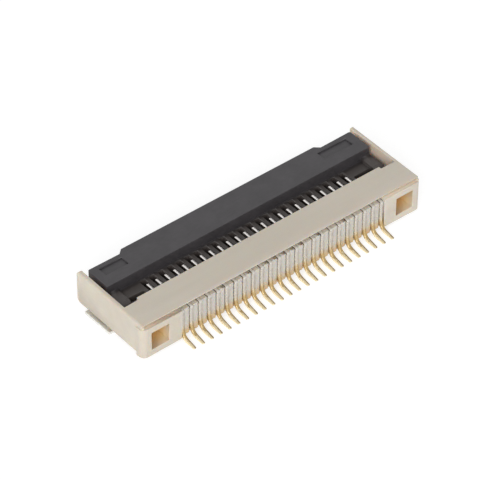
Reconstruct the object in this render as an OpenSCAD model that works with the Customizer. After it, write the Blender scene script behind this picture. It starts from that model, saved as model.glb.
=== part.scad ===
// Surface-mount connector for a flat flexible cable, with a flip lock.
// A moulded housing carries a row of stamped contacts. A comb-shaped actuator turns on a bar
// that the hooked tips of the contacts hold, and presses the cable down on the lower springs.
// +X runs along the contact row, +Y to the cable side, +Z up from the circuit board.

/* [Contacts] */
// Number of contacts in the row
contact_count = 24; // [8:1:40]
// Distance between neighbouring contacts
contact_pitch = 0.5; // [0.45:0.01:0.8]
// Thickness of the strip that the contacts are stamped from
contact_t = 0.16; // [0.12:0.01:0.2]
// Width of the leg, seen from the side
leg_w = 0.14; // [0.1:0.01:0.2]
// How far the legs stand proud of the ribs between them
leg_proud = 0.09; // [0.05:0.01:0.12]
// Length of the solder foot behind the back face
foot_reach = 0.75; // [0.6:0.01:1.2]
// Inside radius of the bend between leg and foot
foot_bend_r = 0.38; // [0.2:0.01:0.45]
// Outside radius of the heel under the bend
heel_r = 0.5; // [0.3:0.01:0.55]
// Slope of the top of the foot, in degrees
foot_slope = 12; // [5:1:20]
// Height of the foot at its tip
foot_tip_h = 0.07; // [0.04:0.01:0.12]
// Inside radius of the shoulder at the top of the leg
shoulder_r = 0.05; // [0.02:0.01:0.1]
// Outside radius of the shoulder
shoulder_out_r = 0.12; // [0.05:0.01:0.2]
// How far the shoulders stand above the ribs
shoulder_rise = 0.04; // [0.02:0.01:0.1]
// Depth of the press-in stem along the cable direction
stem_d = 0.43; // [0.3:0.01:0.5]
// Height of the upper beam over the pivot bar
beam_h = 0.17; // [0.12:0.01:0.25]
// Height of the upper beam at its root
beam_root_h = 0.34; // [0.26:0.01:0.4]
// How deep the pivot bar's seat is sunk into the beam
seat_in = 0.03; // [0.02:0.01:0.05]
// Thickness of the hook in front of the pivot bar
hook_w = 0.25; // [0.12:0.01:0.3]
// How far the hook reaches below the pivot axis
hook_drop = 0.05; // [0.02:0.01:0.08]
// Radius at the tip of the upper beam
tip_r = 0.05; // [0.02:0.01:0.06]
// Height of the lower spring beam
spring_h = 0.14; // [0.1:0.01:0.16]
// Distance from the pivot to the contact point, towards the cable side
touch_from_pivot = 0.8; // [0.6:0.01:1]
// Radius of the rounded contact point
touch_r = 0.12; // [0.08:0.01:0.15]
// How far the contact point stands above the floor
touch_rise = 0.08; // [0.04:0.01:0.12]
// Length of the ramp behind the contact point
touch_ramp = 0.48; // [0.3:0.01:0.6]
// Length of the spring beam past the contact point
nose_l = 0.24; // [0.16:0.01:0.3]

/* [Housing] */
// Distance from the last contact to the end of the housing
end_margin = 2.25; // [2.1:0.01:3]
// Height of the housing
housing_h = 1.85; // [1.8:0.01:2.4]
// Depth of the top plate, in the middle
plate_d = 1.77; // [1.5:0.01:2.2]
// Thickness of the top plate at its front edge
plate_t = 0.44; // [0.35:0.01:0.5]
// How far the plate steps back at both ends
plate_step = 0.17; // [0.05:0.01:0.25]
// Width of the stepped part at each end
plate_step_w = 0.8; // [0.75:0.01:1]
// How far the plate's rear edge is set in from the back face
plate_in = 0.1; // [0.05:0.01:0.15]
// Radius of the plate's rear corners
plate_corner_r = 0.15; // [0.05:0.01:0.3]
// How far the ribs between the legs are set in from the back face
rib_in = 0.15; // [0.12:0.01:0.2]
// Distance of the rib tops from the top of the housing
rib_from_top = 0.35; // [0.3:0.01:0.4]
// Depth of the rear wall that holds the contacts
rear_wall_d = 0.9; // [0.8:0.01:1.1]
// Thickness of the side arms
arm_t = 0.21; // [0.2:0.01:0.5]
// Length of the lead-in at the arm tips
arm_lead = 0.16; // [0.05:0.01:0.3]
// Thickness of the side arms at their tips
arm_tip_t = 0.16; // [0.05:0.01:0.18]
// Radius at the arm tips, seen from the side
arm_tip_r = 0.18; // [0.05:0.01:0.25]
// Radius along the outer top edges of the arms
arm_edge_r = 0.12; // [0.05:0.01:0.15]
// Thickness of the floor under the cable
floor_t = 0.35; // [0.32:0.01:0.42]
// Thickness of the floor under the spring beams
floor_web = 0.1; // [0.08:0.01:0.12]
// Length of the slope at the cable mouth
mouth_lead = 0.3; // [0.1:0.01:0.5]
// Drop of the slope at the cable mouth
mouth_drop = 0.15; // [0.05:0.01:0.2]
// How far the sides of the cable mouth flare out
mouth_flare = 0.2; // [0.05:0.01:0.3]
// Room for the cable beside the last contact
cable_margin = 0.55; // [0.45:0.01:0.6]
// Depth of the rear block below the ledge
block_d = 0.49; // [0.42:0.01:0.8]
// How far the rear block stands out at the ends
block_out = 0.05; // [0.02:0.01:0.15]
// Radius of the rear block's corners
block_corner_r = 0.3; // [0.15:0.01:0.4]
// Height of the groove under the rear edge of the plate, beside the ribs
groove_h = 0.18; // [0.1:0.01:0.2]
// Depth of the groove beside the ribs
groove_d = 0.3; // [0.2:0.01:0.35]
// Depth of the groove over the ribs
groove_rib_d = 0.42; // [0.3:0.01:0.44]
// Slope of the groove's roof, in degrees
groove_slope = 28; // [10:1:30]
// Thickness of the plate's rear edge over the groove
groove_from_top = 0.03; // [0.03:0.01:0.1]
// Distance of the groove's ends from the ends of the housing
groove_from_end = 0.14; // [0.1:0.01:0.4]
// Width of the square pockets in the back face
pocket_w = 0.97; // [0.6:0.01:1.1]
// Height of the pockets
pocket_h = 0.98; // [0.6:0.01:1.1]
// Depth of the pockets
pocket_d = 1.0; // [0.4:0.01:1.2]
// Distance of the pockets from the ends of the housing
pocket_from_end = 0.46; // [0.35:0.01:0.6]
// Distance of the pockets from the underside
pocket_from_bottom = 0.32; // [0.2:0.01:0.4]
// Height of the rebate under the end faces, in front of the rear block
rebate_h = 0.1; // [0.05:0.01:0.15]
// Depth of the rebate from the end faces
rebate_d = 0.2; // [0.1:0.01:0.3]

/* [Actuator] */
// Depth of the actuator's bar, from its rear wall to its front face
bar_d = 1.4; // [1:0.01:2]
// How far the arm tips reach past the bar
arm_over = 0.27; // [0.05:0.01:0.3]
// How far the finger lip stands out in front of the bar
lip_out = 0.22; // [0.15:0.01:0.4]
// Height of the finger lip
lip_h = 0.55; // [0.3:0.01:0.8]
// Distance of the lip from the ends of the actuator
lip_from_end = 2.02; // [1:0.01:3]
// Slant of the lip's ends
lip_slant = 0.25; // [0.1:0.01:0.4]
// Radius of the pivot bar
pivot_r = 0.15; // [0.1:0.01:0.2]
// Distance from the plate's front edge to the pivot axis
pivot_from_plate = 0.43; // [0.4:0.01:0.6]
// Distance from the pivot axis to the rear of the teeth
cam_rear = 0.3; // [0.26:0.01:0.36]
// Width of the rounded lobes at the ends
lobe_w = 0.55; // [0.3:0.01:0.6]
// Radius of the bar's front corners, seen from above
bar_corner_r = 0.1; // [0.05:0.01:0.2]
// Width of the shallow panel on top, near the left end
panel_left_w = 1.25; // [0.8:0.01:2]
// Width of the shallow panel on top, near the right end
panel_right_w = 1.7; // [0.8:0.01:2]
// Depth of the panels along the cable direction
panel_d = 0.52; // [0.3:0.01:0.8]
// How deep the panels are sunk
panel_sink = 0.1; // [0.03:0.01:0.15]
// Distance of the panels from the ends of the actuator
panel_from_end = 0.46; // [0.3:0.01:0.8]
// Distance of the panels from the bar's front face
panel_from_front = 0.23; // [0.15:0.01:0.4]
// Length of the slope under the bar's front edge
bevel_d = 0.5; // [0.2:0.01:0.8]
// Height of the slope under the bar's front edge
bevel_h = 0.35; // [0.1:0.01:0.5]

/* [Hold-downs] */
// Thickness of the sheet; the housing stands this far off the board
tab_t = 0.15; // [0.1:0.01:0.2]
// Length of the solder tab
tab_l = 1.78; // [1:0.01:2]
// How far the tab stands out beside the housing
tab_out = 0.13; // [0.1:0.01:0.5]
// How far the tab reaches in under the housing
tab_in = 0.85; // [0.7:0.01:0.9]
// Distance of the tab from the arm tips
tab_from_tip = 0.68; // [0.2:0.01:0.8]
// Height of the blade that is bent up into the housing
blade_h = 0.4; // [0.2:0.01:0.42]
// Length of the blade
blade_l = 1.1; // [0.6:0.01:1.4]
// Inside radius of the bend between tab and blade
tab_bend_r = 0.05; // [0.03:0.01:0.08]

/* [Clearances] */
// Contact in its slit, on each side
slit_gap = 0.02; // [0.01:0.005:0.03]
// Contact in a slot of the comb, on each side
comb_gap = 0.07; // [0.04:0.005:0.08]
// Pivot bar in the hooks
pivot_gap = 0.03; // [0.02:0.005:0.05]
// Upper beam under the plate
beam_gap = 0.06; // [0.04:0.01:0.1]
// Spring beam over the bottom of its groove
spring_gap = 0.05; // [0.03:0.01:0.06]
// Teeth to the plate when the actuator stands open
teeth_gap = 0.15; // [0.1:0.01:0.2]
// Rear wall of the bar to the top plate when the actuator stands open
open_gap = 0.05; // [0.04:0.01:0.1]
// Actuator between the arms, on each side
side_gap = 0.19; // [0.08:0.01:0.3]
// Room for the cable between the floor and the actuator
cable_gap = 0.28; // [0.25:0.01:0.35]
// Actuator over the side rails
rail_gap = 0.05; // [0.03:0.01:0.08]
// Tip of the upper beam to the end of its slot in the comb
slot_gap = 0.25; // [0.1:0.01:0.3]
// Pivot bar to the comb in the wider gap beside each end lobe
lobe_gap = 0.1; // [0.05:0.01:0.3]

/* [Hidden] */
$fn = 48;
// Slope of the flanks of the contact point, in degrees
touch_slope = 30;
// Straight steps in each arc of a stamped outline
arc_steps = 8;
// Overshoot of the cutting bodies
cut = 0.2;

// Along X
row = (contact_count - 1) * contact_pitch;
half_len = row / 2 + end_margin;
block_half = half_len + block_out;
arm_in = half_len - arm_t;
cable_half = row / 2 + cable_margin;
bar_half = arm_in - side_gap;
slit_w = contact_t + 2 * slit_gap;
slot_w = contact_t + 2 * comb_gap;
tooth_w = contact_pitch - slot_w;

// Along Z, from the board up
z_under = tab_t;
z_floor = z_under + floor_t;
z_web = z_under + floor_web;
z_top = z_under + housing_h;
z_plate = z_top - plate_t;
z_beam = z_plate - beam_gap;
z_pivot = z_beam - beam_h - pivot_gap - pivot_r;
z_press = z_floor + cable_gap;
z_rail = z_press - rail_gap;
z_roof = z_top - groove_from_top;
z_ledge = z_roof - groove_h;
z_rib = z_top - rib_from_top;
z_shoulder = z_rib + shoulder_rise;
z_spring = z_web + spring_gap;
z_touch = z_floor + touch_rise;
z_comb = z_pivot + pivot_from_plate - teeth_gap;
z_lobe = z_comb + plate_step;

// Along Y, from the back face to the cable side
y_leg = rib_in - leg_proud;
y_pivot = plate_d + pivot_from_plate;
y_hook = y_pivot + pivot_r + pivot_gap + hook_w;
y_bar = y_pivot + z_top + open_gap - z_pivot;
y_front = y_bar + bar_d;
housing_d = y_front + arm_over;
y_lip = y_front + lip_out;
y_touch = y_pivot + touch_from_pivot;
y_stem = rear_wall_d - stem_d;
y_nose = y_touch + nose_l;

// The hook tips sweep this radius round the pivot, as the comb sees them
hook_sweep = norm([y_hook - y_pivot, z_beam - z_pivot]);
y_slot = y_pivot + hook_sweep + slot_gap;

// The back face lies here, so that the origin is under the middle of the whole part
y_back = (foot_reach - max(y_lip, housing_d)) / 2;

function contact_name(i) = str("contact_", i < 10 ? "0" : "", i);
// Points of an arc about a centre
function arc(centre, r, a0, a1) = [
    for (k = [0 : arc_steps])
        let (a = a0 + (a1 - a0) * k / arc_steps)
            centre + r * [cos(a), sin(a)]
];
function contact_x(i) = (i - (contact_count + 1) / 2) * contact_pitch;

// Moves a shape drawn from the back face into the part's frame
module place() {
    translate([0, y_back, 0])
        children();
}

// Carries a profile drawn in Y and Z along X
module along_x(x0, x1) {
    translate([x0, 0, 0])
        rotate([90, 0, 90])
            linear_extrude(x1 - x0)
                children();
}

// The same shape at both ends of the row
module both_ends() {
    children();
    mirror([1, 0, 0])
        children();
}

module block(low, high) {
    translate(low)
        cube(high - low);
}

module rect(low, high) {
    translate(low)
        square(high - low);
}

// What a rounding takes off a corner, drawn about the centre of the rounding
module round_off(r) {
    difference() {
        square(r + cut);
        circle(r);
    }
}

// Upright corner of the +X end to be rounded, at the back
module rear_corner(x, y, r) {
    translate([x - r, y + r, z_under - cut])
        mirror([0, 1, 0])
            linear_extrude(housing_h + 2 * cut)
                round_off(r);
}

// Body of the housing with its plate, floor and arms still in one
module body() {
    difference() {
        block([-half_len, plate_in, z_under], [half_len, housing_d, z_top]);
        both_ends() {
            rear_corner(half_len, plate_in, plate_corner_r);
            translate([half_len - arm_edge_r, housing_d + cut, z_top - arm_edge_r])
                rotate([90, 0, 0])
                    linear_extrude(housing_d + cut)
                        round_off(arm_edge_r);
            along_x(arm_in - cut, half_len + cut)
                translate([housing_d - arm_tip_r, z_top - arm_tip_r])
                    round_off(arm_tip_r);
        }
    }
}

// Rear block below the ledge, a little longer than the body
module rear_block() {
    difference() {
        block([-block_half, 0, z_under], [block_half, block_d, z_ledge]);
        both_ends()
            rear_corner(block_half, 0, block_corner_r);
    }
}

// Side view of the groove under the plate's rear edge, with a roof that falls towards the front
module groove_profile(floor_z, depth) {
    polygon([
        [-cut, floor_z],
        [depth, floor_z],
        [depth, z_roof - (depth - plate_in) * tan(groove_slope)],
        [plate_in, z_roof],
        [-cut, z_roof]
    ]);
}

// Groove in the back of the housing, deeper over the ribs, and the set-back of the ribs
module groove() {
    x1 = half_len - groove_from_end;
    rib_x = row / 2 + slit_w / 2;
    along_x(-x1, x1)
        groove_profile(z_ledge, groove_d);
    along_x(-rib_x, rib_x)
        groove_profile(z_rib, groove_rib_d);
    block([-rib_x, -cut, z_under - cut], [rib_x, rib_in, z_ledge]);
}

// Space between the arms, over the side rails, with the stepped front edge of the plate
module lock_space() {
    step_x = arm_in - plate_step_w;
    block([-step_x, plate_d, z_rail], [step_x, housing_d + cut, z_top + cut]);
    block([-arm_in, plate_d - plate_step, z_rail], [-step_x, housing_d + cut, z_top + cut]);
    block([step_x, plate_d - plate_step, z_rail], [arm_in, housing_d + cut, z_top + cut]);
}

// Cable slot from the mouth to the rear wall, with a sloping sill and flared sides
module cable_space() {
    flare = cable_half + mouth_flare;
    block([-cable_half, rear_wall_d, z_floor], [cable_half, plate_d + cut, z_plate]);
    along_x(-cable_half, cable_half)
        polygon([
            [plate_d, z_floor],
            [housing_d - mouth_lead, z_floor],
            [housing_d, z_floor - mouth_drop],
            [housing_d + cut, z_floor - mouth_drop],
            [housing_d + cut, z_rail + cut],
            [plate_d, z_rail + cut]
        ]);
    translate([0, 0, z_floor])
        linear_extrude(z_rail + cut - z_floor)
            polygon([
                [-cable_half, housing_d - mouth_lead],
                [cable_half, housing_d - mouth_lead],
                [flare, housing_d],
                [flare, housing_d + cut],
                [-flare, housing_d + cut],
                [-flare, housing_d]
            ]);
}

// One slit for a contact: leg channel, stem slot and spring groove
module contact_slit() {
    leg_front = y_leg + leg_w + slit_gap;
    along_x(-slit_w / 2, slit_w / 2) {
        rect([-cut, z_under - cut], [leg_front, z_shoulder + slit_gap]);
        rect([-cut, z_web], [rear_wall_d, z_shoulder + slit_gap]);
        rect([0, z_web], [rear_wall_d + cut, z_plate]);
    }
    along_x(-slot_w / 2, slot_w / 2)
        rect([rear_wall_d, z_web], [y_nose + spring_gap, z_floor + cut]);
}

// Blind core pocket in the back face, at the +X end
module pocket() {
    x1 = half_len - pocket_from_end;
    z0 = z_under + pocket_from_bottom;
    block([x1 - pocket_w, -cut, z0], [x1, pocket_d, z0 + pocket_h]);
}

// Lead-in at the tip of the +X arm
module arm_lead_in() {
    translate([0, 0, z_rail])
        linear_extrude(z_top - z_rail + cut)
            polygon([
                [arm_in - cut, housing_d - arm_lead],
                [arm_in, housing_d - arm_lead],
                [half_len - arm_tip_t, housing_d],
                [half_len - arm_tip_t, housing_d + cut],
                [arm_in - cut, housing_d + cut]
            ]);
}

// Rebate under the +X end face, with a rounded corner at the arm tip
module rebate() {
    z1 = z_under + rebate_h;
    along_x(half_len - rebate_d, half_len + cut) {
        rect([block_d, z_under - cut], [housing_d + cut, z1]);
        translate([housing_d - arm_tip_r, z1 + arm_tip_r])
            mirror([0, 1])
                round_off(arm_tip_r);
    }
}

// Slot for the blade of the +X hold-down
module blade_slot() {
    x1 = half_len - tab_in;
    y1 = housing_d - tab_from_tip - (tab_l - blade_l) / 2;
    block(
        [x1 - slit_gap, y1 - blade_l - slit_gap, z_under - cut],
        [x1 + tab_t + tab_bend_r, y1 + slit_gap, z_under + blade_h + slit_gap]
    );
}

module housing() {
    color([0.80, 0.76, 0.69])
        place()
            difference() {
                union() {
                    body();
                    rear_block();
                }
                lock_space();
                cable_space();
                groove();
                for (i = [1 : contact_count])
                    translate([contact_x(i), 0, 0])
                        contact_slit();
                both_ends() {
                    pocket();
                    arm_lead_in();
                    rebate();
                    blade_slot();
                }
            }
}

// Side view of a contact, blanked as one outline. It runs from the foot round the heel, up the
// front of the leg, round the stem, out along the lower spring, back, out along the hooked upper
// beam, back over the shoulder, down the rear of the leg and along the sloping top of the foot.
module contact_profile() {
    leg_front = y_leg + leg_w;
    heel_c = [leg_front - heel_r, heel_r];
    bend_y = y_leg - foot_bend_r;
    slope_run = foot_reach + bend_y + foot_bend_r * sin(foot_slope);
    bend_z = foot_tip_h + slope_run * tan(foot_slope) + foot_bend_r * cos(foot_slope);
    arm_z = z_shoulder - leg_w;
    shoulder_c = [leg_front + shoulder_r, arm_z - shoulder_r];
    touch_c = [y_touch, z_touch - touch_r];
    pivot_c = [y_pivot, z_pivot];
    seat_r = pivot_r + pivot_gap;
    seat_z = z_pivot + seat_r - seat_in;
    hook_z = z_pivot - hook_drop;
    polygon(concat(
        [[-foot_reach, 0]],
        arc(heel_c, heel_r, 270, 360),
        arc(shoulder_c, shoulder_r, 180, 90),
        [
            [y_stem, arm_z],
            [y_stem, z_web],
            [rear_wall_d, z_web],
            [rear_wall_d, z_spring],
            [y_nose, z_spring],
            [y_nose, z_spring + spring_h / 2]
        ],
        arc(touch_c, touch_r, touch_slope, 180 - touch_slope),
        [
            [y_touch - touch_ramp, z_spring + spring_h],
            [rear_wall_d, z_spring + spring_h],
            [rear_wall_d, z_beam - beam_root_h],
            [y_pivot - seat_r - hook_w, seat_z]
        ],
        arc(pivot_c, seat_r, 180 - asin((seat_r - seat_in) / seat_r), -asin(hook_drop / seat_r)),
        [[y_hook, hook_z]],
        arc([y_hook - tip_r, z_beam - tip_r], tip_r, 0, 90),
        [[rear_wall_d, z_beam], [rear_wall_d, z_shoulder]],
        arc([y_leg + shoulder_out_r, z_shoulder - shoulder_out_r], shoulder_out_r, 90, 180),
        arc([bend_y, bend_z], foot_bend_r, 360, 270 + foot_slope),
        [[-foot_reach, foot_tip_h]]
    ));
}

module contact(i) {
    color([0.86, 0.76, 0.52])
        place()
            translate([contact_x(i), 0, 0])
                along_x(-contact_t / 2, contact_t / 2)
                    contact_profile();
}

// Side view of a tooth or a lobe of this height. Its rounded end is tangent to the top, the
// underside and the rear reach, so it presses lower when shut than when open.
module tooth_profile(top) {
    r = (top - z_press) / 2;
    y = y_pivot - cam_rear + r;
    translate([y, z_press + r])
        circle(r);
    rect([y, z_press], [y_bar + cut, top]);
}

// Side view of the bar, with a slope under its front edge
module bar_profile() {
    polygon([
        [y_bar, z_press],
        [y_front - bevel_d, z_press],
        [y_front, z_press + bevel_h],
        [y_front, z_top],
        [y_bar, z_top]
    ]);
}

// Finger lip, seen from above, with slanted ends
module lip_plan() {
    root = bar_half - lip_from_end + lip_slant;
    tip = bar_half - lip_from_end;
    polygon([
        [-root, y_front - cut],
        [-root, y_front],
        [-tip, y_lip],
        [tip, y_lip],
        [root, y_front],
        [root, y_front - cut]
    ]);
}

// Shallow plain panel in the top of the bar, at the +X end
module panel(w) {
    x1 = bar_half - panel_from_end;
    y1 = y_front - panel_from_front;
    block([x1 - w, y1 - panel_d, z_top - panel_sink], [x1, y1, z_top + cut]);
}

// Rounding of the bar's front corner at the +X end
module bar_corner() {
    translate([bar_half - bar_corner_r, y_front - bar_corner_r, z_press - cut])
        linear_extrude(z_top - z_press + 2 * cut)
            round_off(bar_corner_r);
}

// Slots of the comb, clear of the upper beams, and a wider gap inside each end lobe
module comb_slots() {
    gap_x0 = row / 2 + slot_w / 2 + tooth_w;
    gap_x1 = bar_half - lobe_w;
    y0 = y_pivot - cam_rear - cut;
    for (i = [1 : contact_count])
        translate([contact_x(i), 0, 0])
            block([-slot_w / 2, y0, z_press - cut], [slot_w / 2, y_slot, z_comb + cut]);
    both_ends()
        block(
            [gap_x0, y0, z_press - cut],
            [gap_x1, y_pivot + pivot_r + lobe_gap, z_comb + cut]
        );
}

module actuator() {
    color([0.14, 0.14, 0.15])
        place()
            difference() {
                union() {
                    difference() {
                        along_x(-bar_half, bar_half)
                            tooth_profile(z_comb);
                        comb_slots();
                    }
                    both_ends()
                        along_x(bar_half - lobe_w, bar_half)
                            tooth_profile(z_lobe);
                    along_x(-bar_half, bar_half)
                        bar_profile();
                    translate([0, 0, z_top - lip_h])
                        linear_extrude(lip_h)
                            lip_plan();
                    along_x(lobe_w / 2 - bar_half, bar_half - lobe_w / 2)
                        translate([y_pivot, z_pivot])
                            circle(pivot_r);
                }
                panel(panel_right_w);
                mirror([1, 0, 0])
                    panel(panel_left_w);
                both_ends()
                    bar_corner();
            }
}

// Front view of the +X hold-down: a strip that lies on the board and is bent up at its inner end
module hold_down_profile() {
    x0 = half_len - tab_in;
    x1 = half_len + tab_out;
    z1 = z_under + blade_h;
    bend_c = [x0 + tab_t + tab_bend_r, tab_t + tab_bend_r];
    polygon(concat(
        [[x1, 0], [x1, tab_t]],
        arc(bend_c, tab_bend_r, 270, 180),
        [[x0 + tab_t, z1], [x0, z1]],
        arc(bend_c, tab_bend_r + tab_t, 180, 270)
    ));
}

// Solder tab under the +X arm, with a narrower blade bent up into the housing
module hold_down() {
    x0 = half_len - tab_in + tab_t + tab_bend_r;
    y1 = housing_d - tab_from_tip;
    block([x0, y1 - tab_l, 0], [half_len + tab_out, y1, tab_t]);
    translate([0, y1 - (tab_l - blade_l) / 2, 0])
        rotate([90, 0, 0])
            linear_extrude(blade_l)
                hold_down_profile();
}

module hold_down_right() {
    color([0.78, 0.78, 0.75])
        place()
            hold_down();
}

module hold_down_left() {
    color([0.78, 0.78, 0.75])
        place()
            mirror([1, 0, 0])
                hold_down();
}

housing();
actuator();
hold_down_left();
hold_down_right();
for (i = [1 : contact_count])
    contact(i);
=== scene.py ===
"""Looks of a small board connector for a flat flexible cable, with a flip lock."""

import math

import bmesh
import bpy
import numpy as np
from mathutils import Matrix, Vector


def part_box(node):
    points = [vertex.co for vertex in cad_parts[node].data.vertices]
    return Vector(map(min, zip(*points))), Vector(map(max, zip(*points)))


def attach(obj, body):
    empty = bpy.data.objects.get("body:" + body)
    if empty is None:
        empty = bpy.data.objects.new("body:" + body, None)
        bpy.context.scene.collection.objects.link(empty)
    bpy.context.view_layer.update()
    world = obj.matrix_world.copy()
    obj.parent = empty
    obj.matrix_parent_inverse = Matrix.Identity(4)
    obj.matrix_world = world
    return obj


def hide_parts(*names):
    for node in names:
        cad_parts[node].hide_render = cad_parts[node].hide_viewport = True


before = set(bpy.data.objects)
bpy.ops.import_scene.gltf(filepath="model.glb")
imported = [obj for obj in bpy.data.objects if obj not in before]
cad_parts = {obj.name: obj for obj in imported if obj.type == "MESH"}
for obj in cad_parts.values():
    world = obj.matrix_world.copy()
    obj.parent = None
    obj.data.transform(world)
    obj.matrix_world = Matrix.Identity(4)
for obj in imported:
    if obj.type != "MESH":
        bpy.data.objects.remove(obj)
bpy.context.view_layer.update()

# Housing
# One ivory moulding of glass-filled liquid-crystal polymer: rear block, floor and both arms in one.
# The tool is spark-eroded, which leaves a fine matt grain, and no edge of the moulding is quite sharp.
MM = 0.001
HOUSING_EDGE = 0.03 * MM
HOUSING_LEAST_EDGE = 0.3 * MM
MERGE = 0.0001 * MM
FLAT_DEG = 0.5
SHARP_DEG = 35
BREADTH_SHARE = 0.4
EDGE_STEPS = 3


def broken_edges(node, piece_name, radius, least_edge):
    """A copy of a CAD solid, its triangles joined into flat faces, with a small radius on its outer edges.

    An outer edge that is at least least_edge long gets the radius where its two faces turn by more than
    SHARP_DEG. Beside a narrow face the radius is at most BREADTH_SHARE of that face's breadth, which is
    its area over the edge's length. Other edges that sharp stay crisp. Larger faces count for more in
    the smooth normals.
    """
    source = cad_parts[node]
    shape = bmesh.new()
    shape.from_mesh(source.data)
    bmesh.ops.remove_doubles(shape, verts=shape.verts, dist=MERGE)
    flat = math.radians(FLAT_DEG)
    bmesh.ops.dissolve_limit(shape, angle_limit=flat, verts=shape.verts, edges=shape.edges)
    turns = np.array([edge.calc_face_angle_signed(0.0) for edge in shape.edges])
    lengths = np.array([edge.calc_length() for edge in shape.edges])
    areas = np.array([min(face.calc_area() for face in edge.link_faces) for edge in shape.edges])
    breadths = areas / lengths
    mesh = bpy.data.meshes.new(piece_name)
    shape.to_mesh(mesh)
    shape.free()
    sharp = np.abs(turns) > math.radians(SHARP_DEG)
    rounded = sharp & (turns > 0) & (lengths >= least_edge)
    shares = np.minimum(BREADTH_SHARE * breadths / radius, 1.0)
    weights = mesh.attributes.new("bevel_weight_edge", "FLOAT", "EDGE")
    weights.data.foreach_set("value", np.where(rounded, shares, 0.0))
    crisp = mesh.attributes.new("sharp_edge", "BOOLEAN", "EDGE")
    crisp.data.foreach_set("value", sharp & ~rounded)
    mesh.polygons.foreach_set("use_smooth", np.ones(len(mesh.polygons), bool))
    piece = bpy.data.objects.new(piece_name, mesh)
    bpy.context.scene.collection.objects.link(piece)
    bevel = piece.modifiers.new("broken_edges", "BEVEL")
    bevel.limit_method = "WEIGHT"
    bevel.width = radius
    bevel.segments = EDGE_STEPS
    bevel.use_clamp_overlap = False
    normals = piece.modifiers.new("flat_faces", "WEIGHTED_NORMAL")
    normals.keep_sharp = True
    return piece


def make(tree, kind, inputs=None, **properties):
    """Adds a node. Each input, by name or number, takes a constant or another node's output."""
    node = tree.nodes.new(kind)
    for name, value in properties.items():
        setattr(node, name, value)
    for key, value in (inputs or {}).items():
        if isinstance(value, bpy.types.NodeSocket):
            tree.links.new(value, node.inputs[key])
        else:
            node.inputs[key].default_value = value
    return node


def in_mm(tree, stretch=(1, 1, 1)):
    """The surface point in millimetres, with each axis multiplied by stretch."""
    point = make(tree, "ShaderNodeTexCoord").outputs["Object"]
    scale = [share / MM for share in stretch]
    return make(tree, "ShaderNodeMapping", {"Vector": point, "Scale": scale}).outputs["Vector"]


def split(tree, vector):
    """The X, Y and Z of a vector."""
    return make(tree, "ShaderNodeSeparateXYZ", {"Vector": vector}).outputs


def facing(tree):
    """The X, Y and Z of the direction in which the surface looks."""
    return split(tree, make(tree, "ShaderNodeTexCoord").outputs["Normal"])


def noise(tree, point, scale, detail=3.0):
    """Soft cloudy values about 0.5, scale of them to a millimetre."""
    inputs = {"Vector": point, "Scale": scale, "Detail": detail}
    return make(tree, "ShaderNodeTexNoise", inputs).outputs["Fac"]


def ramp(tree, value, start, end):
    """0 at start and 1 at end, eased between them."""
    inputs = {"Value": value, "From Min": start, "From Max": end}
    return make(tree, "ShaderNodeMapRange", inputs, interpolation_type="SMOOTHSTEP").outputs["Result"]


def spread(tree, value, low, high):
    """Cloudy values between 0.3 and 0.7 spread from low to high."""
    inputs = {"Value": value, "From Min": 0.3, "From Max": 0.7, "To Min": low, "To Max": high}
    return make(tree, "ShaderNodeMapRange", inputs).outputs["Result"]


def math_node(tree, operation, *values):
    """The result of one operation on constants or other nodes' outputs."""
    return make(tree, "ShaderNodeMath", dict(enumerate(values)), operation=operation).outputs["Value"]


def all_of(tree, first, *others):
    """The product of shares, so 1 only where each of them is 1."""
    product = first
    for share in others:
        product = math_node(tree, "MULTIPLY", product, share)
    return product


def within(tree, value, low, high):
    """1 between low and high, and 0 outside."""
    return math_node(tree, "COMPARE", value, (low + high) / 2, (high - low) / 2)


def mixed(tree, share, first, second):
    """A colour, first at share 0 and second at share 1."""
    return make(tree, "ShaderNodeMix", {0: share, 6: first, 7: second}, data_type="RGBA").outputs[2]


def roughen(tree, skin, height, strength, depth):
    """Tilts the surface, by strength, as if it rose by depth where height goes from 0 to 1."""
    bump = make(tree, "ShaderNodeBump", {"Height": height, "Strength": strength, "Distance": depth})
    tree.links.new(bump.outputs["Normal"], skin.inputs["Normal"])


def new_material(name):
    """A new material, its node tree and its surface shader."""
    material = bpy.data.materials.new(name)
    material.use_nodes = True
    return material, material.node_tree, material.node_tree.nodes["Principled BSDF"]


# The groove under the plate's rear edge is painted: dark tan at its top as shade, and paler at its floor
# as light trapped in the plastic. Places in a material are in millimetres. The mask is a box slightly
# larger than the groove.
GROOVE_PAINTED_SHADE = (0.420, 0.350, 0.265, 1)
GROOVE_PAINTED_LIGHT = (0.800, 0.710, 0.580, 1)
GROOVE_LOW = 1.785
GROOVE_HIGH = 1.972
GROOVE_D = 0.45
GROOVE_HALF = 7.95
GROOVE_FADE = 0.15


def with_painted_groove(tree, body, place, back):
    """The body's colour, and painted shade and light in the groove: tan at its top, palest at its floor.

    The tan comes in between the back face and GROOVE_FADE in front of it.
    """
    shade = all_of(
        tree,
        within(tree, place["X"], -GROOVE_HALF, GROOVE_HALF),
        within(tree, place["Z"], GROOVE_LOW, GROOVE_HIGH),
        math_node(tree, "LESS_THAN", place["Y"], back + GROOVE_D),
        ramp(tree, place["Y"], back, back + GROOVE_FADE),
    )
    tan = mixed(tree, ramp(tree, place["Z"], GROOVE_HIGH, GROOVE_LOW), GROOVE_PAINTED_SHADE, GROOVE_PAINTED_LIGHT)
    return mixed(tree, shade, body, tan)


# Light that comes through the thin arms is painted on their inner faces in front of the plate, as a
# warm pale colour.
ARM_PAINTED_GLOW = (0.740, 0.635, 0.520, 1)
ARM_INSIDE = 7.5
ARM_INSIDE_FADE = 0.05
ARM_FROM = -0.3
ARM_FROM_FADE = 0.1
INWARD_FROM = -0.5
INWARD_FULL = -0.9


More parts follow.
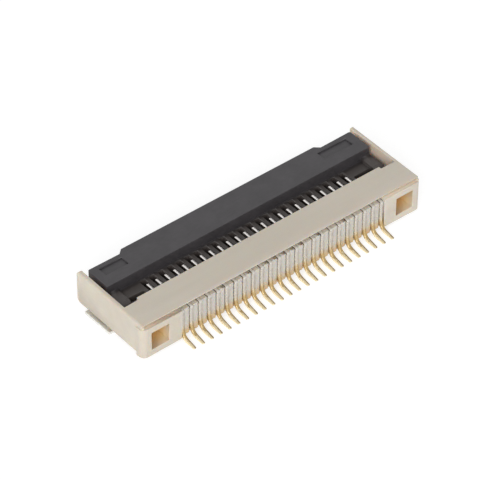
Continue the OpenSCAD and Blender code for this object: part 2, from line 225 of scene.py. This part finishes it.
def with_painted_arm_glow(tree, body, place):
    """The body's colour, and a painted warm glow beyond ARM_INSIDE on faces that look towards the middle.

    The outward share of a face's direction is its X times the sign of the place's X, so it is negative
    on an inner face.
    """
    across = math_node(tree, "ABSOLUTE", place["X"])
    outward = math_node(tree, "MULTIPLY", facing(tree)["X"], math_node(tree, "SIGN", place["X"]))
    lit_through = all_of(
        tree,
        ramp(tree, across, ARM_INSIDE, ARM_INSIDE + ARM_INSIDE_FADE),
        ramp(tree, outward, INWARD_FROM, INWARD_FULL),
        ramp(tree, place["Y"], ARM_FROM, ARM_FROM + ARM_FROM_FADE),
    )
    return mixed(tree, lit_through, body, ARM_PAINTED_GLOW)


# The ribs beside the legs are painted cooler, as the legs' sheen on them, and gold at their lower ends
# as light that the feet throw.
LEG_SHEEN = (0.575, 0.550, 0.515, 1)
LEG_SHEEN_SHARE = 0.7
FOOT_GLOW = (0.660, 0.505, 0.320, 1)
FOOT_GLOW_TOP = 0.75
FOOT_GLOW_FULL = 0.3
ROW_D = 0.25
ROW_OUT = 0.25
ROW_IN = 0.1


def with_painted_row_light(tree, body, place, back):
    """The body's colour, painted cooler beside the row of legs and painted gold there below FOOT_GLOW_TOP.

    Beside the row is less than ROW_D in front of the back face. Both tints fade across the row's ends.
    """
    row_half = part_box("contact_24")[1].x / MM
    across = math_node(tree, "ABSOLUTE", place["X"])
    beside = all_of(
        tree,
        math_node(tree, "LESS_THAN", place["Y"], back + ROW_D),
        ramp(tree, across, row_half + ROW_OUT, row_half - ROW_IN),
    )
    cooler = mixed(tree, all_of(tree, beside, LEG_SHEEN_SHARE), body, LEG_SHEEN)
    foot_glow_share = all_of(tree, beside, ramp(tree, place["Z"], FOOT_GLOW_TOP, FOOT_GLOW_FULL))
    return mixed(tree, foot_glow_share, cooler, FOOT_GLOW)


# Light that is trapped in the square pockets at both ends of the back is painted in as amber.
POCKET_PAINTED_GLOW = (0.760, 0.545, 0.265, 1)
AMBER_FROM = -0.3
AMBER_FULL = 0.7
BLOCK_OUT = 0.05
POCKET_FROM_END = 0.46
POCKET_FROM_BOTTOM = 0.32
POCKET_W = 0.97
POCKET_H = 0.98
POCKET_D = 1.0
POCKET_LIP = 0.02
REACH = 0.03


def with_painted_pocket_glow(tree, body, place, low, high):
    """The body's colour, and amber painted in the pockets as trapped light, stronger towards their
    bottoms.

    The mask is the pocket's own space, REACH larger, from POCKET_LIP in front of the back face. In it the
    amber grows as an eased ramp from AMBER_FROM behind that face to AMBER_FULL of the pocket's depth.
    """
    across = math_node(tree, "ABSOLUTE", place["X"])
    outer = high.x - BLOCK_OUT - POCKET_FROM_END
    under = low.z + POCKET_FROM_BOTTOM
    trapped = all_of(
        tree,
        within(tree, across, outer - POCKET_W - REACH, outer + REACH),
        within(tree, place["Z"], under - REACH, under + POCKET_H + REACH),
        within(tree, place["Y"], low.y + POCKET_LIP, low.y + POCKET_D + REACH),
        ramp(tree, place["Y"], low.y + AMBER_FROM, low.y + POCKET_D * AMBER_FULL),
    )
    return mixed(tree, trapped, body, POCKET_PAINTED_GLOW)


IVORY = (0.552, 0.498, 0.415, 1)
IVORY_PALE = (0.618, 0.568, 0.483, 1)


def ivory_plastic():
    """Ivory moulding: long pale flow streaks, mineral specks and a spark grain, and the painted light and
    shade above.
    """
    material, tree, skin = new_material("ivory_plastic")
    point = in_mm(tree)
    place = split(tree, point)
    flow = noise(tree, in_mm(tree, stretch=(0.12, 1, 1)), scale=1.3, detail=4.0)
    specks = noise(tree, point, scale=24.0, detail=2.0)
    streaky = spread(tree, flow, low=0.0, high=0.7)
    speckled = spread(tree, specks, low=-0.12, high=0.42)
    body = mixed(tree, math_node(tree, "ADD", streaky, speckled), IVORY, IVORY_PALE)
    low, high = (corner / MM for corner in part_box("housing"))
    body = with_painted_groove(tree, body, place, low.y)
    body = with_painted_arm_glow(tree, body, place)
    body = with_painted_row_light(tree, body, place, low.y)
    body = with_painted_pocket_glow(tree, body, place, low, high)
    tree.links.new(body, skin.inputs["Base Color"])
    tree.links.new(spread(tree, specks, low=0.5, high=0.66), skin.inputs["Roughness"])
    roughen(tree, skin, noise(tree, point, scale=42.0, detail=2.0), strength=0.35, depth=0.004 * MM)
    skin.inputs["Subsurface Weight"].default_value = 0.4
    skin.inputs["Subsurface Radius"].default_value = (1.0, 0.5, 0.2)
    skin.inputs["Subsurface Scale"].default_value = 0.3 * MM
    return material


housing = broken_edges("housing", "ivory_housing", HOUSING_EDGE, HOUSING_LEAST_EDGE)
housing.data.materials.append(ivory_plastic())
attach(housing, "base")
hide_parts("housing")

# Hold-downs
# Two tabs stamped and bent from thin tinned sheet and pressed up into the floor of the housing.
# They lie on the board beside the arms, and solder on them takes the pull of the cable.
TAB_EDGE = 0.02 * MM
TAB_LEAST_EDGE = 0.02 * MM
TIN = (0.780, 0.770, 0.730, 1)
TIN_PALE = (0.900, 0.890, 0.860, 1)


def tinned_sheet():
    """Dull tin: fine rolling lines along the strip, with cloudy patches of flow-melted tin."""
    material, tree, skin = new_material("tinned_sheet")
    lines = noise(tree, in_mm(tree, stretch=(30, 1.5, 30)), scale=1.0, detail=2.0)
    patches = noise(tree, in_mm(tree), scale=5.0, detail=3.0)
    cloudy = spread(tree, patches, low=0.0, high=0.7)
    lined = spread(tree, lines, low=-0.15, high=0.3)
    metal = mixed(tree, math_node(tree, "ADD", cloudy, lined), TIN, TIN_PALE)
    tree.links.new(metal, skin.inputs["Base Color"])
    tree.links.new(spread(tree, patches, low=0.42, high=0.58), skin.inputs["Roughness"])
    roughen(tree, skin, lines, strength=0.3, depth=0.003 * MM)
    skin.inputs["Metallic"].default_value = 0.9
    return material


tin = tinned_sheet()
for side in ("left", "right"):
    tab = broken_edges(f"hold_down_{side}", f"solder_tab_{side}", TAB_EDGE, TAB_LEAST_EDGE)
    tab.data.materials.append(tin)
    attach(tab, "base")
    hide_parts(f"hold_down_{side}")

# Contacts
# Each is blanked from copper alloy strip on edge, so the sheared rim is what shows on the legs.
# Nickel covers all of it, and a flash of gold the solder feet and the lower springs.
CONTACT_EDGE = 0.03 * MM
CONTACT_LEAST_EDGE = 0.009 * MM
NICKEL = (0.580, 0.545, 0.500, 1)
NICKEL_TORN = (0.430, 0.395, 0.350, 1)
NICKEL_ROLLED = (0.840, 0.800, 0.740, 1)
NICKEL_BEAM_HIGHLIGHT = (0.980, 0.940, 0.910, 1)
NICKEL_SHOULDER_HIGHLIGHT = (0.620, 0.595, 0.545, 1)
GOLD = (0.350, 0.250, 0.125, 1)
GOLD_PALE = (0.430, 0.325, 0.180, 1)
GOLD_ROLLED = (0.935, 0.795, 0.520, 1)
GOLD_BEND_SHADE = (0.520, 0.360, 0.150, 1)

# How far sideways the surface looks where the rim ends, and where the rolled side is reached.
RIM_TURN = 0.5
SIDE_TURN = 0.95

# The torn half of the rim, in shares of the pitch. The middle of a contact is at 0.5.
CONTACT_PITCH = 0.5
TORN_FROM = 0.47
TORN_FULL = 0.56

# Heights between which gold gives way to nickel, and those of the darker gold painted round the bend as
# shade.
GOLD_TOP = 0.35
NICKEL_FROM = 0.95
BEND_LOW = 0.16
BEND_FULL_LOW = 0.22
BEND_FULL_HIGH = 0.4
BEND_HIGH = 0.75
BEND_SHARE = 0.85

# Places along Y and Z where the beams painted with a highlight, the legs and their shoulders begin, and
# the length over which each of them comes in.
BEAM_HIGHLIGHT_FROM = -0.5
BEAM_HIGHLIGHT_ABOVE = 1.3
LEG_FROM = -1.4
SHOULDER_ABOVE = 1.55
FADE = 0.1

# How much rougher the torn half is, how much smoother the beams are, how dull the flanks of the legs are
# where the rim of a shoulder is 1, and how much of its metal gloss such a rim loses.
TORN_ROUGHNESS = 0.14
BEAM_SMOOTHING = 0.5
FLANK_DULLNESS = 0.48
DULLING = 0.9


def plated_contact():
    """Nickel above and gold below, pale on the rolled sides and darker on the sheared rim.

    One half of the rim is torn and mottled. The beams are painted bright as a highlight, and the gold is
    painted darker round the bend above the foot as shade. The shoulders' rims are painted pale as a
    highlight and their flanks dark as shade. The rims of the shoulders and, less so, the flanks of the
    legs below them are dull, which makes them less metallic.
    """
    material, tree, skin = new_material("plated_contact")
    point = in_mm(tree)
    place = split(tree, point)
    rolled = ramp(tree, math_node(tree, "ABSOLUTE", facing(tree)["X"]), RIM_TURN, SIDE_TURN)
    in_pitch = math_node(tree, "FRACT", math_node(tree, "DIVIDE", place["X"], CONTACT_PITCH))
    tear = noise(tree, in_mm(tree, stretch=(14, 14, 4)), scale=1.0, detail=4.0)
    ragged = math_node(tree, "ADD", in_pitch, spread(tree, tear, low=-0.05, high=0.05))
    torn = ramp(tree, ragged, TORN_FROM, TORN_FULL)
    mottle = all_of(tree, torn, spread(tree, tear, low=0.0, high=1.0))
    wavy = spread(tree, noise(tree, point, scale=9.0), low=-0.08, high=0.08)
    height = math_node(tree, "ADD", place["Z"], wavy)
    bare = ramp(tree, height, GOLD_TOP, NICKEL_FROM)
    beam = ramp(tree, place["Y"], BEAM_HIGHLIGHT_FROM, BEAM_HIGHLIGHT_FROM + FADE)
    beam_highlight = all_of(tree, beam, ramp(tree, place["Z"], BEAM_HIGHLIGHT_ABOVE, BEAM_HIGHLIGHT_ABOVE + FADE))
    leg = ramp(tree, place["Y"], LEG_FROM, LEG_FROM - FADE)
    upper = ramp(tree, place["Z"], SHOULDER_ABOVE, SHOULDER_ABOVE + FADE)
    shoulder = all_of(tree, leg, upper)

    clouds = spread(tree, noise(tree, point, scale=6.0), low=0.0, high=1.0)
    gold = mixed(tree, torn, GOLD_ROLLED, mixed(tree, clouds, GOLD, GOLD_PALE))
    rim = mixed(tree, bare, gold, mixed(tree, mottle, NICKEL, NICKEL_TORN))
    rim = mixed(tree, beam_highlight, rim, NICKEL_BEAM_HIGHLIGHT)
    # The shoulders' rims are painted pale as a highlight, and their flanks dark, in the torn colour, as
    # shade.
    rim = mixed(tree, shoulder, rim, NICKEL_SHOULDER_HIGHLIGHT)
    flank = mixed(tree, bare, GOLD_ROLLED, NICKEL_ROLLED)
    flank = mixed(tree, shoulder, flank, NICKEL_TORN)
    metal = mixed(tree, rolled, rim, flank)
    risen = ramp(tree, height, BEND_LOW, BEND_FULL_LOW)
    fallen = ramp(tree, height, BEND_HIGH, BEND_FULL_HIGH)
    metal = mixed(tree, all_of(tree, risen, fallen, BEND_SHARE), metal, GOLD_BEND_SHADE)
    tree.links.new(metal, skin.inputs["Base Color"])

    uneven = spread(tree, tear, low=0.2, high=0.34)
    rough = math_node(tree, "MULTIPLY_ADD", torn, TORN_ROUGHNESS, uneven)
    smooth = math_node(tree, "MULTIPLY_ADD", beam_highlight, -BEAM_SMOOTHING, 1.0)
    tree.links.new(all_of(tree, rough, smooth), skin.inputs["Roughness"])
    roughen(tree, skin, mottle, strength=0.25, depth=0.004 * MM)
    lower = math_node(tree, "MULTIPLY_ADD", upper, -FLANK_DULLNESS, FLANK_DULLNESS)
    flank_less_rim = math_node(tree, "SUBTRACT", all_of(tree, leg, lower), shoulder)
    dull = math_node(tree, "MULTIPLY_ADD", rolled, flank_less_rim, shoulder)
    tree.links.new(math_node(tree, "MULTIPLY_ADD", dull, -DULLING, 1.0), skin.inputs["Metallic"])
    return material


plating = plated_contact()
for node in sorted(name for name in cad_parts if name.startswith("contact_")):
    contact = broken_edges(node, f"plated_{node}", CONTACT_EDGE, CONTACT_LEAST_EDGE)
    contact.data.materials.append(plating)
    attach(contact, "base")
    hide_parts(node)

# Actuator
# The flip lock: one black moulding of glass-filled polyamide, with a comb of teeth round the pivot bar.
# It snaps between the arms, its pivot bar held down by the hooks of the contacts.
LOCK_EDGE = 0.035 * MM
LOCK_LEAST_EDGE = 0.15 * MM
BLACK = (0.043, 0.040, 0.043, 1)
BLACK_DUSTY = (0.064, 0.059, 0.064, 1)
# The comb's colours: a browner black, a darker one at the roots as painted shade, and a paler one in the
# slots as painted light.
COMB_BROWN = (0.062, 0.053, 0.049, 1)
COMB_ROOT_SHADE = (0.034, 0.029, 0.028, 1)
SLOT_PAINTED_LIGHT = (0.060, 0.049, 0.045, 1)

# The comb ends at the bar's rear wall. Its roots begin short of that, and its slots just below the tops
# of the teeth. The last two values say how far down the undersides look.
COMB_END = 1.0
COMB_FADE = 0.1
ROOT_FROM = 0.82
ROOT_FULL = 0.95
SLOT_FROM = 1.41
SLOT_FULL = 1.33
UNDERSIDE_FROM = -0.1
UNDERSIDE_FULL = -0.4


def black_plastic():
    """Black moulding: fibre streaks that follow the bar, dusty clouds and a fine spark grain.

    The comb is browner, painted darker towards its roots as shade, and its slots painted paler as light.
    Undersides and what lies beyond COMB_END keep the body's colour.
    """
    material, tree, skin = new_material("black_plastic")
    point = in_mm(tree)
    place = split(tree, point)
    fibres = noise(tree, in_mm(tree, stretch=(0.35, 1, 1)), scale=9.0, detail=4.0)
    clouds = noise(tree, point, scale=1.1, detail=3.0)
    cloudy = spread(tree, clouds, low=0.0, high=0.6)
    streaky = spread(tree, fibres, low=-0.1, high=0.4)
    body = mixed(tree, math_node(tree, "ADD", cloudy, streaky), BLACK, BLACK_DUSTY)
    teeth = mixed(tree, ramp(tree, place["Y"], ROOT_FROM, ROOT_FULL), COMB_BROWN, COMB_ROOT_SHADE)
    comb_paint = mixed(tree, ramp(tree, place["Z"], SLOT_FROM, SLOT_FULL), teeth, SLOT_PAINTED_LIGHT)
    beyond = ramp(tree, place["Y"], COMB_END, COMB_END + COMB_FADE)
    underside = ramp(tree, facing(tree)["Z"], UNDERSIDE_FROM, UNDERSIDE_FULL)
    unpainted = math_node(tree, "MAXIMUM", beyond, underside)
    tree.links.new(mixed(tree, unpainted, comb_paint, body), skin.inputs["Base Color"])
    tree.links.new(spread(tree, fibres, low=0.32, high=0.46), skin.inputs["Roughness"])
    roughen(tree, skin, noise(tree, point, scale=36.0, detail=2.0), strength=0.4, depth=0.004 * MM)
    return material


lock = broken_edges("actuator", "flip_lock", LOCK_EDGE, LOCK_LEAST_EDGE)
lock.data.materials.append(black_plastic())
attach(lock, "lock")
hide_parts("actuator")

# Table
# A plain pale floor under the part. To the camera and in reflections it is white and keeps the part's
# shadow. To all other rays it is a white card, which lights the part from below.
FLOOR_HALF = 0.6
FLOOR_CARD = (0.92, 0.92, 0.92, 1)
FLOOR_LIGHT = 0.14
FLOOR_GLOW = 0.68
FLOOR_SHADED = (0.44, 0.44, 0.44, 1)


def seen_share(tree):
    """1 for rays that show the surroundings as such: to the camera, in a reflection or through glass."""
    rays = make(tree, "ShaderNodeLightPath").outputs
    shown = math_node(tree, "MAXIMUM", rays["Is Camera Ray"], rays["Is Glossy Ray"])
    return math_node(tree, "MAXIMUM", shown, rays["Is Transmission Ray"])


def glowing(tree, colour, strength):
    """A matt surface of this colour with a white light of its own added."""
    matt = make(tree, "ShaderNodeBsdfDiffuse", {"Color": colour})
    light = make(tree, "ShaderNodeEmission", {"Strength": strength})
    return make(tree, "ShaderNodeAddShader", {0: matt.outputs[0], 1: light.outputs[0]}).outputs[0]


def pale_floor():
    """A white card with a little light of its own, and a glow that lifts it to white where it is shown."""
    material, tree, skin = new_material("pale_floor")
    tree.nodes.remove(skin)
    card = glowing(tree, FLOOR_CARD, FLOOR_LIGHT)
    lifted = glowing(tree, FLOOR_SHADED, FLOOR_GLOW)
    surface = make(tree, "ShaderNodeMixShader", {0: seen_share(tree), 1: card, 2: lifted})
    tree.links.new(surface.outputs[0], tree.nodes["Material Output"].inputs["Surface"])
    return material


corners = FLOOR_HALF * np.array([(-1, -1, 0), (1, -1, 0), (1, 1, 0), (-1, 1, 0)], float)
floor_mesh = bpy.data.meshes.new("floor")
floor_mesh.from_pydata(corners.tolist(), [], [(0, 1, 2, 3)])
floor_mesh.materials.append(pale_floor())
floor = bpy.data.objects.new("floor", floor_mesh)
bpy.context.scene.collection.objects.link(floor)

# Light
# A white tent, a little brighter low down, and one large soft box on the camera's side. The box stands
# low, so it reaches into grooves and pockets, and upright faces come out paler than the top.
TENT_TOP = 0.58
TENT_LOW = 0.2
TENT_SHOWN_TOP = 0.7
BOX_SIZE = 0.2
BOX_DISTANCE = 0.3
BOX_AZIMUTH = -48
BOX_ELEVATION = 30
BOX_WATTS = 0.52


def white_tent():
    """Light of TENT_TOP, plus TENT_LOW times the square of 1 less the sine of the elevation.

    The camera and reflections see white at the horizon instead, which falls to TENT_SHOWN_TOP overhead.
    """
    world = bpy.data.worlds.new("white_tent")
    world.use_nodes = True
    tree = world.node_tree
    background = tree.nodes["Background"]
    height = split(tree, make(tree, "ShaderNodeTexCoord").outputs["Generated"])["Z"]
    below = math_node(tree, "POWER", math_node(tree, "SUBTRACT", 1.0, height), 2.0)
    lit = math_node(tree, "MULTIPLY_ADD", below, TENT_LOW, TENT_TOP)
    shown = make(tree, "ShaderNodeMapRange", {"Value": height, "To Min": 1.0, "To Max": TENT_SHOWN_TOP})
    inputs = {0: seen_share(tree), 2: lit, 3: shown.outputs["Result"]}
    strength = make(tree, "ShaderNodeMix", inputs, data_type="FLOAT").outputs[0]
    tree.links.new(strength, background.inputs["Strength"])
    background.inputs["Color"].default_value = (1, 1, 1, 1)
    return world


def towards(azimuth, elevation):
    """The direction at these angles in degrees. Azimuth 0 is at -Y, on the side of the feet."""
    a = math.radians(azimuth)
    e = math.radians(elevation)
    return Vector((math.sin(a) * math.cos(e), -math.cos(a) * math.cos(e), math.sin(e)))


bpy.context.scene.world = white_tent()
lamp = bpy.data.lights.new("soft_box", "AREA")
lamp.shape = "SQUARE"
lamp.size = BOX_SIZE
lamp.energy = BOX_WATTS
box = bpy.data.objects.new("soft_box", lamp)
bpy.context.scene.collection.objects.link(box)
to_box = towards(BOX_AZIMUTH, BOX_ELEVATION)
box.location = to_box * BOX_DISTANCE
box.rotation_mode = "QUATERNION"
box.rotation_quaternion = to_box.to_track_quat("Z", "Y")

# Camera
# A long lens from behind and above the left end. It looks past the foot of the back face, set off
# by the two aim lengths across and up the picture.
VIEW_AZIMUTH = -39.43
VIEW_ELEVATION = 41.58
VIEW_ROLL = 0.297
VIEW_DISTANCE = 146.67 * MM
LENS = 246.18
SENSOR_WIDTH = 36
NEAREST = 10 * MM
FARTHEST = 5
AIM_ACROSS = -2.016 * MM
AIM_UP = 1.985 * MM

back = towards(VIEW_AZIMUTH, VIEW_ELEVATION)
level = Vector((0, 0, 1)).cross(back).normalized()
turn = Matrix.Rotation(math.radians(VIEW_ROLL), 3, back)
right = turn @ level
up = turn @ back.cross(level)
foot = Vector((0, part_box("housing")[0].y, 0))
lens = bpy.data.cameras.new("long_lens")
lens.lens = LENS
lens.sensor_width = SENSOR_WIDTH
lens.clip_start = NEAREST
lens.clip_end = FARTHEST
camera = bpy.data.objects.new("camera", lens)
bpy.context.scene.collection.objects.link(camera)
eye = foot + back * VIEW_DISTANCE + right * AIM_ACROSS + up * AIM_UP
camera.matrix_world = Matrix.Translation(eye) @ Matrix((right, up, back)).transposed().to_4x4()
bpy.context.scene.camera = camera
bpy.context.scene.view_settings.view_transform = "Standard"

bpy.context.view_layer.update()
